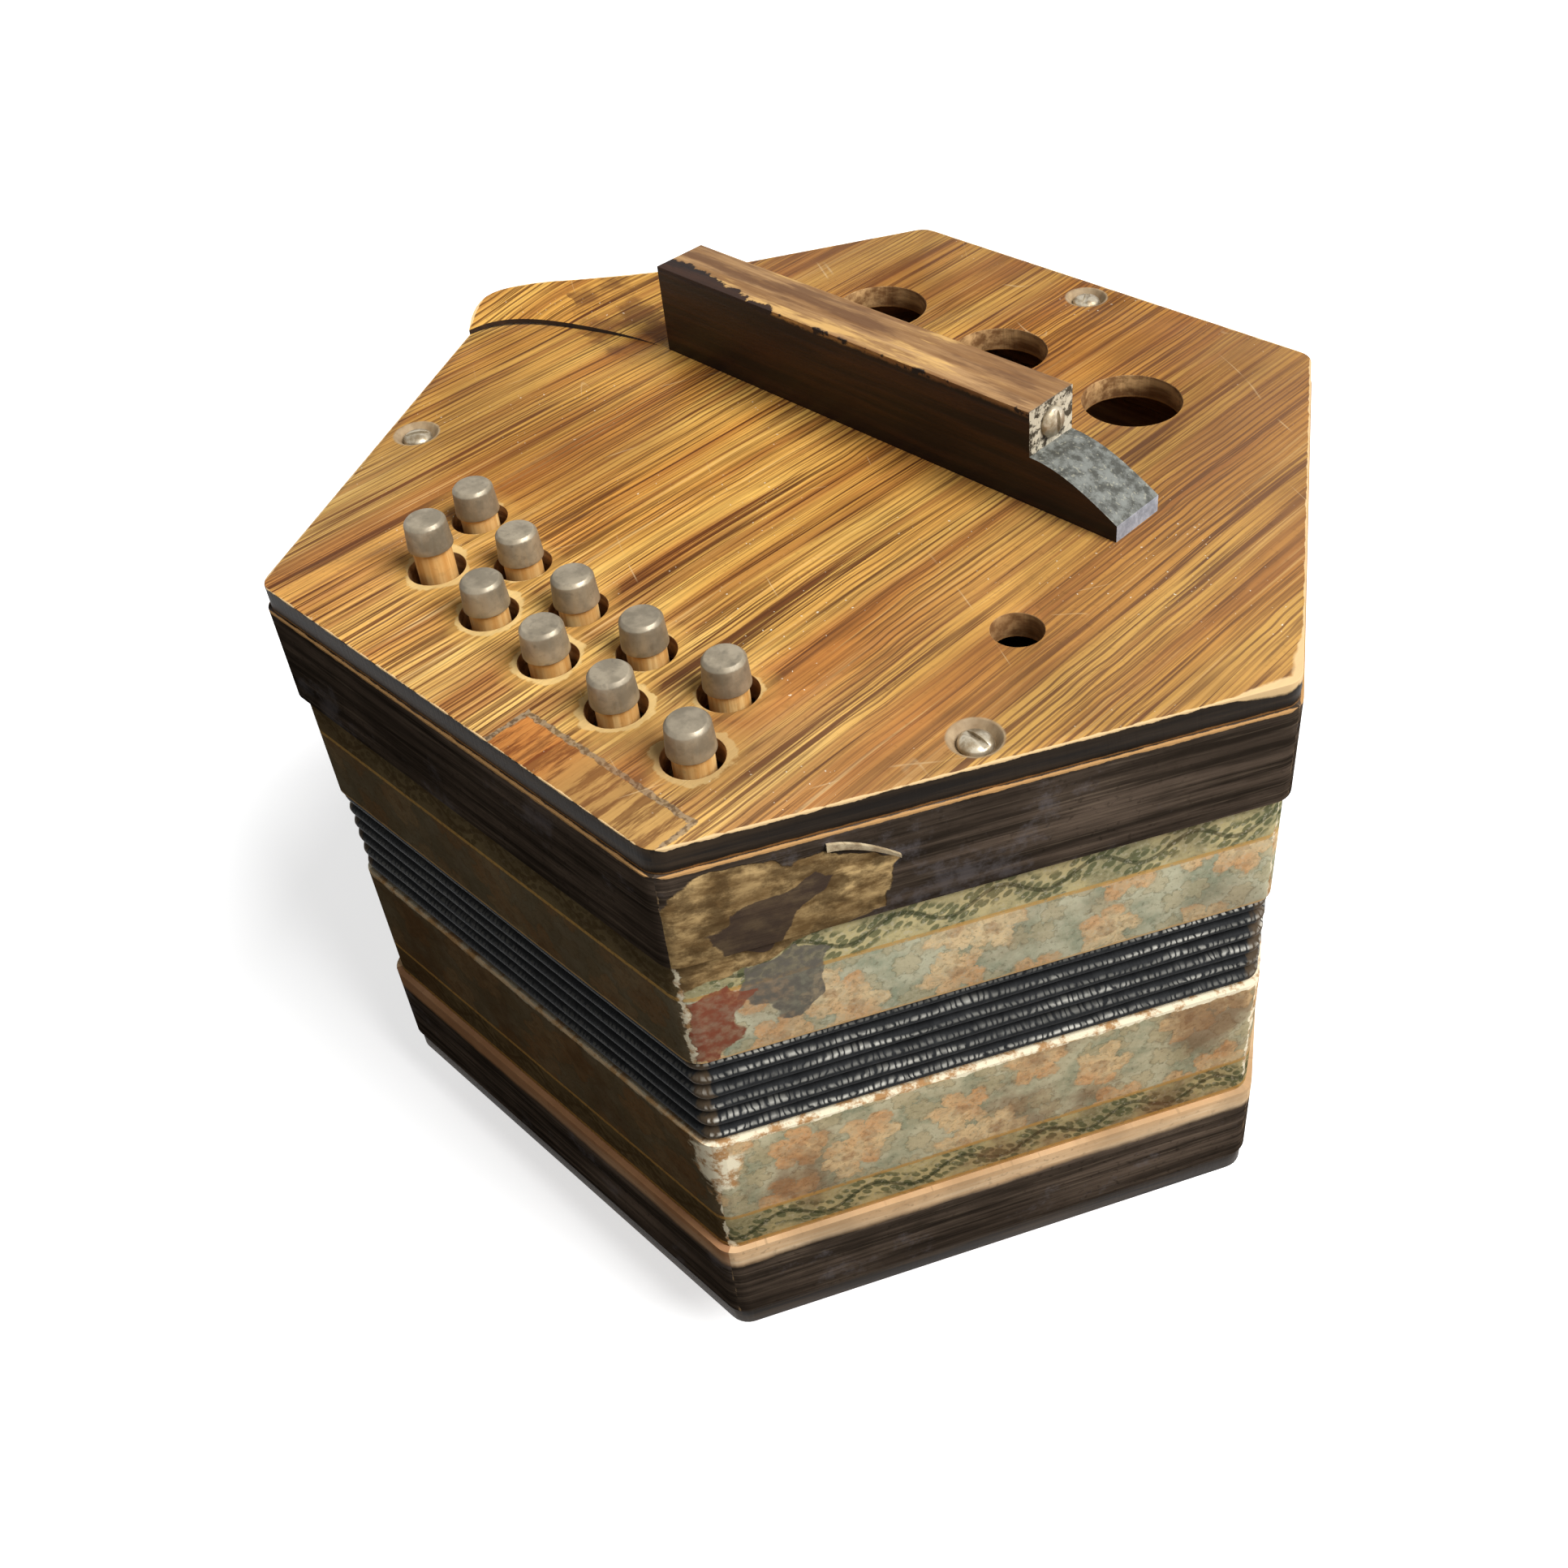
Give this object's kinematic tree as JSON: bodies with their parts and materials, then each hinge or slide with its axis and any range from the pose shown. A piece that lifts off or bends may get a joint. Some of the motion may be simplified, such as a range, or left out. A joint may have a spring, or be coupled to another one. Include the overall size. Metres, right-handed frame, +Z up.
{
  "type": "button concertina",
  "caption": "Hexagonal hand-held squeezebox with sprung press buttons in two rows at each end, papered frames, folding bellows and wooden hand rails.",
  "frame": {"origin": "on the floor under the middle of the hexagonal body, at the outer face of the left-hand end's hand rail", "axes": "+X along the hand rails towards their thumb end and along the longest width, -Y towards the two rows of buttons, +Z up from the left-hand end to the right-hand end"},
  "size_m": [0.1834, 0.16, 0.147],
  "materials": {
    "plate_wood": "varnished golden spruce or alder, matt with age",
    "dark_wood": "ebonised and stained, worn",
    "rail_wood": "dark brown varnish worn to bare wood along the edges",
    "pale_wood": "bare",
    "frame_paper": "wooden frame covered with printed paper",
    "bellows_card": "folded card with black cloth, worn along the ridges",
    "dull_steel": "dull with age",
    "cap_metal": "pressed metal, scratched",
    "reed_metal": "plain"
  },
  "bodies": {
    "left_end": {"left_end_plate": "plate_wood", "left_wall": "dark_wood", "left_rail": "rail_wood", "left_screws": "dull_steel", "left_action_board": "pale_wood", "left_lever_post": "pale_wood", "left_reed_pan": "pale_wood", "left_reeds": "reed_metal", "left_frame": "frame_paper", "bellows": "bellows_card"},
    "right_end": {"right_end_plate": "plate_wood", "right_wall": "dark_wood", "right_rail": "rail_wood", "right_screws": "dull_steel", "right_action_board": "pale_wood", "right_lever_post": "pale_wood", "right_reed_pan": "pale_wood", "right_reeds": "reed_metal", "right_frame": "frame_paper"},
    "air_lever": {"air_lever": "pale_wood"},
    "right_button_1": {"right_button_1": "cap_metal"},
    "right_lever_1": {"right_lever_1": "pale_wood"},
    "right_button_2": {"right_button_2": "cap_metal"},
    "right_lever_2": {"right_lever_2": "pale_wood"},
    "right_button_3": {"right_button_3": "cap_metal"},
    "right_lever_3": {"right_lever_3": "pale_wood"},
    "right_button_4": {"right_button_4": "cap_metal"},
    "right_lever_4": {"right_lever_4": "pale_wood"},
    "right_button_5": {"right_button_5": "cap_metal"},
    "right_lever_5": {"right_lever_5": "pale_wood"},
    "right_button_6": {"right_button_6": "cap_metal"},
    "right_lever_6": {"right_lever_6": "pale_wood"},
    "right_button_7": {"right_button_7": "cap_metal"},
    "right_lever_7": {"right_lever_7": "pale_wood"},
    "right_button_8": {"right_button_8": "cap_metal"},
    "right_lever_8": {"right_lever_8": "pale_wood"},
    "right_button_9": {"right_button_9": "cap_metal"},
    "right_lever_9": {"right_lever_9": "pale_wood"},
    "right_button_10": {"right_button_10": "cap_metal"},
    "right_lever_10": {"right_lever_10": "pale_wood"},
    "left_button_1": {"left_button_1": "cap_metal"},
    "left_lever_1": {"left_lever_1": "pale_wood"},
    "left_button_2": {"left_button_2": "cap_metal"},
    "left_lever_2": {"left_lever_2": "pale_wood"},
    "left_button_3": {"left_button_3": "cap_metal"},
    "left_lever_3": {"left_lever_3": "pale_wood"},
    "left_button_4": {"left_button_4": "cap_metal"},
    "left_lever_4": {"left_lever_4": "pale_wood"},
    "left_button_5": {"left_button_5": "cap_metal"},
    "left_lever_5": {"left_lever_5": "pale_wood"},
    "left_button_6": {"left_button_6": "cap_metal"},
    "left_lever_6": {"left_lever_6": "pale_wood"},
    "left_button_7": {"left_button_7": "cap_metal"},
    "left_lever_7": {"left_lever_7": "pale_wood"},
    "left_button_8": {"left_button_8": "cap_metal"},
    "left_lever_8": {"left_lever_8": "pale_wood"},
    "left_button_9": {"left_button_9": "cap_metal"},
    "left_lever_9": {"left_lever_9": "pale_wood"},
    "left_button_10": {"left_button_10": "cap_metal"},
    "left_lever_10": {"left_lever_10": "pale_wood"}
  },
  "joints": [
    {"name": "bellows_slide", "type": "slide", "parent": "left_end", "child": "right_end", "axis": [0, 0, 1], "range_m": [0, 0.11]},
    {"name": "right_button_1_press", "type": "slide", "parent": "right_end", "child": "right_button_1", "axis": [0, 0, -1], "range_m": [0, 0.003], "stiffness_N_per_m": 120, "springref_m": -0.004},
    {"name": "right_lever_1_tilt", "type": "hinge", "parent": "right_end", "child": "right_lever_1", "pos_m": [-0.027, -0.01, 0.118], "axis": [1, 0, 0], "range_deg": [0, 3.69]},
    {"name": "right_button_2_press", "type": "slide", "parent": "right_end", "child": "right_button_2", "axis": [0, 0, -1], "range_m": [0, 0.003], "stiffness_N_per_m": 120, "springref_m": -0.004},
    {"name": "right_lever_2_tilt", "type": "hinge", "parent": "right_end", "child": "right_lever_2", "pos_m": [-0.011, -0.01, 0.118], "axis": [1, 0, 0], "range_deg": [0, 3.55]},
    {"name": "right_button_3_press", "type": "slide", "parent": "right_end", "child": "right_button_3", "axis": [0, 0, -1], "range_m": [0, 0.003], "stiffness_N_per_m": 120, "springref_m": -0.004},
    {"name": "right_lever_3_tilt", "type": "hinge", "parent": "right_end", "child": "right_lever_3", "pos_m": [0.005, -0.01, 0.118], "axis": [1, 0, 0], "range_deg": [0, 3.46]},
    {"name": "right_button_4_press", "type": "slide", "parent": "right_end", "child": "right_button_4", "axis": [0, 0, -1], "range_m": [0, 0.003], "stiffness_N_per_m": 120, "springref_m": -0.004},
    {"name": "right_lever_4_tilt", "type": "hinge", "parent": "right_end", "child": "right_lever_4", "pos_m": [0.021, -0.01, 0.118], "axis": [1, 0, 0], "range_deg": [0, 3.42]},
    {"name": "right_button_5_press", "type": "slide", "parent": "right_end", "child": "right_button_5", "axis": [0, 0, -1], "range_m": [0, 0.003], "stiffness_N_per_m": 120, "springref_m": -0.004},
    {"name": "right_lever_5_tilt", "type": "hinge", "parent": "right_end", "child": "right_lever_5", "pos_m": [0.037, -0.01, 0.118], "axis": [1, 0, 0], "range_deg": [0, 3.41]},
    {"name": "right_button_6_press", "type": "slide", "parent": "right_end", "child": "right_button_6", "axis": [0, 0, -1], "range_m": [0, 0.003], "stiffness_N_per_m": 120, "springref_m": -0.004},
    {"name": "right_lever_6_tilt", "type": "hinge", "parent": "right_end", "child": "right_lever_6", "pos_m": [-0.033, -0.01, 0.118], "axis": [1, 0, 0], "range_deg": [0, 4.91]},
    {"name": "right_button_7_press", "type": "slide", "parent": "right_end", "child": "right_button_7", "axis": [0, 0, -1], "range_m": [0, 0.003], "stiffness_N_per_m": 120, "springref_m": -0.004},
    {"name": "right_lever_7_tilt", "type": "hinge", "parent": "right_end", "child": "right_lever_7", "pos_m": [-0.017, -0.01, 0.118], "axis": [1, 0, 0], "range_deg": [0, 4.49]},
    {"name": "right_button_8_press", "type": "slide", "parent": "right_end", "child": "right_button_8", "axis": [0, 0, -1], "range_m": [0, 0.003], "stiffness_N_per_m": 120, "springref_m": -0.004},
    {"name": "right_lever_8_tilt", "type": "hinge", "parent": "right_end", "child": "right_lever_8", "pos_m": [-0.001, -0.01, 0.118], "axis": [1, 0, 0], "range_deg": [0, 4.29]},
    {"name": "right_button_9_press", "type": "slide", "parent": "right_end", "child": "right_button_9", "axis": [0, 0, -1], "range_m": [0, 0.003], "stiffness_N_per_m": 120, "springref_m": -0.004},
    {"name": "right_lever_9_tilt", "type": "hinge", "parent": "right_end", "child": "right_lever_9", "pos_m": [0.015, -0.01, 0.118], "axis": [1, 0, 0], "range_deg": [0, 4.25]},
    {"name": "right_button_10_press", "type": "slide", "parent": "right_end", "child": "right_button_10", "axis": [0, 0, -1], "range_m": [0, 0.003], "stiffness_N_per_m": 120, "springref_m": -0.004},
    {"name": "right_lever_10_tilt", "type": "hinge", "parent": "right_end", "child": "right_lever_10", "pos_m": [0.031, -0.01, 0.118], "axis": [1, 0, 0], "range_deg": [0, 4.37]},
    {"name": "left_button_1_press", "type": "slide", "parent": "left_end", "child": "left_button_1", "axis": [0, 0, 1], "range_m": [0, 0.003], "stiffness_N_per_m": 120, "springref_m": -0.004},
    {"name": "left_lever_1_tilt", "type": "hinge", "parent": "left_end", "child": "left_lever_1", "pos_m": [-0.027, -0.01, 0.029], "axis": [-1, 0, 0], "range_deg": [0, 3.69]},
    {"name": "left_button_2_press", "type": "slide", "parent": "left_end", "child": "left_button_2", "axis": [0, 0, 1], "range_m": [0, 0.003], "stiffness_N_per_m": 120, "springref_m": -0.004},
    {"name": "left_lever_2_tilt", "type": "hinge", "parent": "left_end", "child": "left_lever_2", "pos_m": [-0.011, -0.01, 0.029], "axis": [-1, 0, 0], "range_deg": [0, 3.55]},
    {"name": "left_button_3_press", "type": "slide", "parent": "left_end", "child": "left_button_3", "axis": [0, 0, 1], "range_m": [0, 0.003], "stiffness_N_per_m": 120, "springref_m": -0.004},
    {"name": "left_lever_3_tilt", "type": "hinge", "parent": "left_end", "child": "left_lever_3", "pos_m": [0.005, -0.01, 0.029], "axis": [-1, 0, 0], "range_deg": [0, 3.46]},
    {"name": "left_button_4_press", "type": "slide", "parent": "left_end", "child": "left_button_4", "axis": [0, 0, 1], "range_m": [0, 0.003], "stiffness_N_per_m": 120, "springref_m": -0.004},
    {"name": "left_lever_4_tilt", "type": "hinge", "parent": "left_end", "child": "left_lever_4", "pos_m": [0.021, -0.01, 0.029], "axis": [-1, 0, 0], "range_deg": [0, 3.42]},
    {"name": "left_button_5_press", "type": "slide", "parent": "left_end", "child": "left_button_5", "axis": [0, 0, 1], "range_m": [0, 0.003], "stiffness_N_per_m": 120, "springref_m": -0.004},
    {"name": "left_lever_5_tilt", "type": "hinge", "parent": "left_end", "child": "left_lever_5", "pos_m": [0.037, -0.01, 0.029], "axis": [-1, 0, 0], "range_deg": [0, 3.41]},
    {"name": "left_button_6_press", "type": "slide", "parent": "left_end", "child": "left_button_6", "axis": [0, 0, 1], "range_m": [0, 0.003], "stiffness_N_per_m": 120, "springref_m": -0.004},
    {"name": "left_lever_6_tilt", "type": "hinge", "parent": "left_end", "child": "left_lever_6", "pos_m": [-0.033, -0.01, 0.029], "axis": [-1, 0, 0], "range_deg": [0, 4.91]},
    {"name": "left_button_7_press", "type": "slide", "parent": "left_end", "child": "left_button_7", "axis": [0, 0, 1], "range_m": [0, 0.003], "stiffness_N_per_m": 120, "springref_m": -0.004},
    {"name": "left_lever_7_tilt", "type": "hinge", "parent": "left_end", "child": "left_lever_7", "pos_m": [-0.017, -0.01, 0.029], "axis": [-1, 0, 0], "range_deg": [0, 4.49]},
    {"name": "left_button_8_press", "type": "slide", "parent": "left_end", "child": "left_button_8", "axis": [0, 0, 1], "range_m": [0, 0.003], "stiffness_N_per_m": 120, "springref_m": -0.004},
    {"name": "left_lever_8_tilt", "type": "hinge", "parent": "left_end", "child": "left_lever_8", "pos_m": [-0.001, -0.01, 0.029], "axis": [-1, 0, 0], "range_deg": [0, 4.29]},
    {"name": "left_button_9_press", "type": "slide", "parent": "left_end", "child": "left_button_9", "axis": [0, 0, 1], "range_m": [0, 0.003], "stiffness_N_per_m": 120, "springref_m": -0.004},
    {"name": "left_lever_9_tilt", "type": "hinge", "parent": "left_end", "child": "left_lever_9", "pos_m": [0.015, -0.01, 0.029], "axis": [-1, 0, 0], "range_deg": [0, 4.25]},
    {"name": "left_button_10_press", "type": "slide", "parent": "left_end", "child": "left_button_10", "axis": [0, 0, 1], "range_m": [0, 0.003], "stiffness_N_per_m": 120, "springref_m": -0.004},
    {"name": "left_lever_10_tilt", "type": "hinge", "parent": "left_end", "child": "left_lever_10", "pos_m": [0.031, -0.01, 0.029], "axis": [-1, 0, 0], "range_deg": [0, 4.37]},
    {"name": "air_lever_tilt", "type": "hinge", "parent": "right_end", "child": "air_lever", "pos_m": [0.054, 0.004, 0.118], "axis": [1, 0, 0], "range_deg": [0, 8], "stiffness_Nm_per_rad": 0.05, "springref_deg": -11.46}
  ],
  "couplings": [
    {"joint": "right_lever_1_tilt", "follows": "right_button_1_press", "rad_per_m": 20.291},
    {"joint": "right_lever_2_tilt", "follows": "right_button_2_press", "rad_per_m": 19.501},
    {"joint": "right_lever_3_tilt", "follows": "right_button_3_press", "rad_per_m": 18.99},
    {"joint": "right_lever_4_tilt", "follows": "right_button_4_press", "rad_per_m": 18.717},
    {"joint": "right_lever_5_tilt", "follows": "right_button_5_press", "rad_per_m": 18.663},
    {"joint": "right_lever_6_tilt", "follows": "right_button_6_press", "rad_per_m": 27.407},
    {"joint": "right_lever_7_tilt", "follows": "right_button_7_press", "rad_per_m": 24.959},
    {"joint": "right_lever_8_tilt", "follows": "right_button_8_press", "rad_per_m": 23.78},
    {"joint": "right_lever_9_tilt", "follows": "right_button_9_press", "rad_per_m": 23.557},
    {"joint": "right_lever_10_tilt", "follows": "right_button_10_press", "rad_per_m": 24.238},
    {"joint": "left_lever_1_tilt", "follows": "left_button_1_press", "rad_per_m": 20.291},
    {"joint": "left_lever_2_tilt", "follows": "left_button_2_press", "rad_per_m": 19.501},
    {"joint": "left_lever_3_tilt", "follows": "left_button_3_press", "rad_per_m": 18.99},
    {"joint": "left_lever_4_tilt", "follows": "left_button_4_press", "rad_per_m": 18.717},
    {"joint": "left_lever_5_tilt", "follows": "left_button_5_press", "rad_per_m": 18.663},
    {"joint": "left_lever_6_tilt", "follows": "left_button_6_press", "rad_per_m": 27.407},
    {"joint": "left_lever_7_tilt", "follows": "left_button_7_press", "rad_per_m": 24.959},
    {"joint": "left_lever_8_tilt", "follows": "left_button_8_press", "rad_per_m": 23.78},
    {"joint": "left_lever_9_tilt", "follows": "left_button_9_press", "rad_per_m": 23.557},
    {"joint": "left_lever_10_tilt", "follows": "left_button_10_press", "rad_per_m": 24.238}
  ]
}
